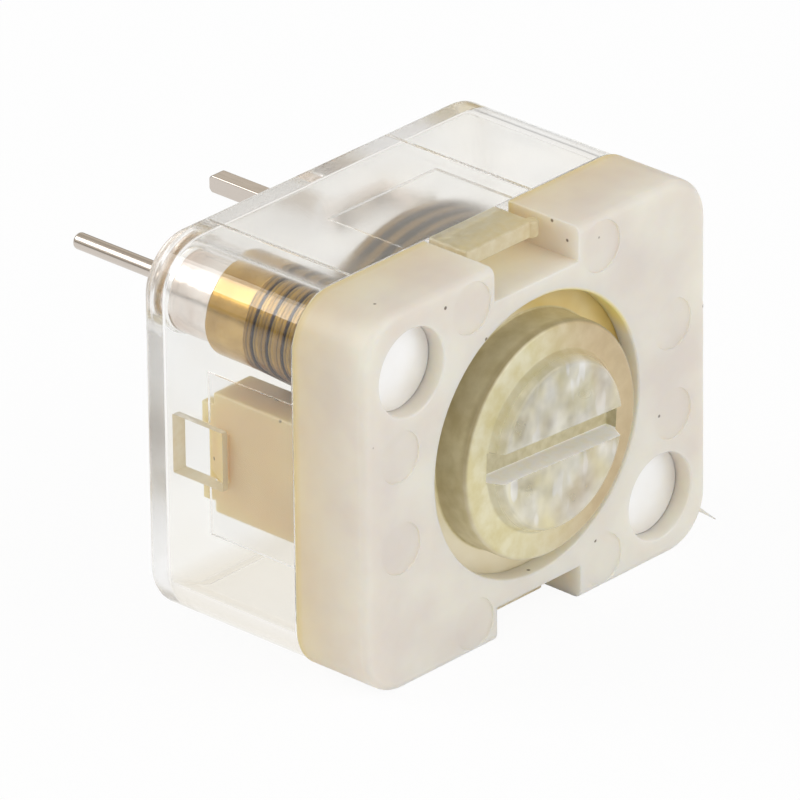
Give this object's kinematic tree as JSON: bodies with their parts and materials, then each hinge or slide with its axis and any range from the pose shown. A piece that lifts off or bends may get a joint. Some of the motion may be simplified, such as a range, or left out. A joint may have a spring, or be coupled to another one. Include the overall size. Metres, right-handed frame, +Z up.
{
  "type": "trimmer capacitor",
  "caption": "Film-dielectric trimmer capacitor: milky moulded base, clear dust cover, screwdriver-set rotor and tinned terminals.",
  "frame": {"origin": "middle of the resting long side, in the joint plane between base and cover", "axes": "+Z up as the part lies on its long side, +Y out of the cover's back along the terminals, -Y out of the screwdriver slot, X across the width"},
  "size_m": [0.0142, 0.0136, 0.0115],
  "materials": {
    "base_plastic": "moulded, milky white, slightly translucent",
    "cover_clear": "clear moulded, polished",
    "knob_clear": "clear moulded, slightly yellow",
    "brass": "turned, bright",
    "plate_brass": "stamped sheet, satin",
    "spring_bronze": "rolled strip, silver-plated",
    "tinned": "tin-plated, satin",
    "film": "thin clear film"
  },
  "bodies": {
    "case": {"base": "base_plastic", "dust_cover": "cover_clear", "rotor_contact": "spring_bronze", "rotor_terminal": "tinned", "left_post": "tinned", "right_post": "tinned", "left_collar": "brass", "right_collar": "brass", "left_terminal": "tinned", "right_terminal": "tinned", "stator_plate_1": "plate_brass", "stator_plate_2": "plate_brass", "stator_plate_3": "plate_brass", "stator_plate_4": "plate_brass", "left_spacer_1": "brass", "left_spacer_2": "brass", "left_spacer_3": "brass", "right_spacer_1": "brass", "right_spacer_2": "brass", "right_spacer_3": "brass", "dielectric_film_1": "film", "dielectric_film_2": "film", "dielectric_film_3": "film", "dielectric_film_4": "film", "dielectric_film_5": "film", "dielectric_film_6": "film"},
    "rotor": {"rotor_knob": "knob_clear", "rotor_shaft": "brass", "rotor_collar": "brass", "spring_washer": "spring_bronze", "rotor_plate_1": "plate_brass", "rotor_plate_2": "plate_brass", "rotor_plate_3": "plate_brass", "rotor_spacer_1": "brass", "rotor_spacer_2": "brass"}
  },
  "joints": [
    {"name": "rotor_turn", "type": "hinge", "parent": "case", "child": "rotor", "pos_m": [0, 0, 0.00575], "axis": [0, 1, 0], "continuous": true}
  ]
}
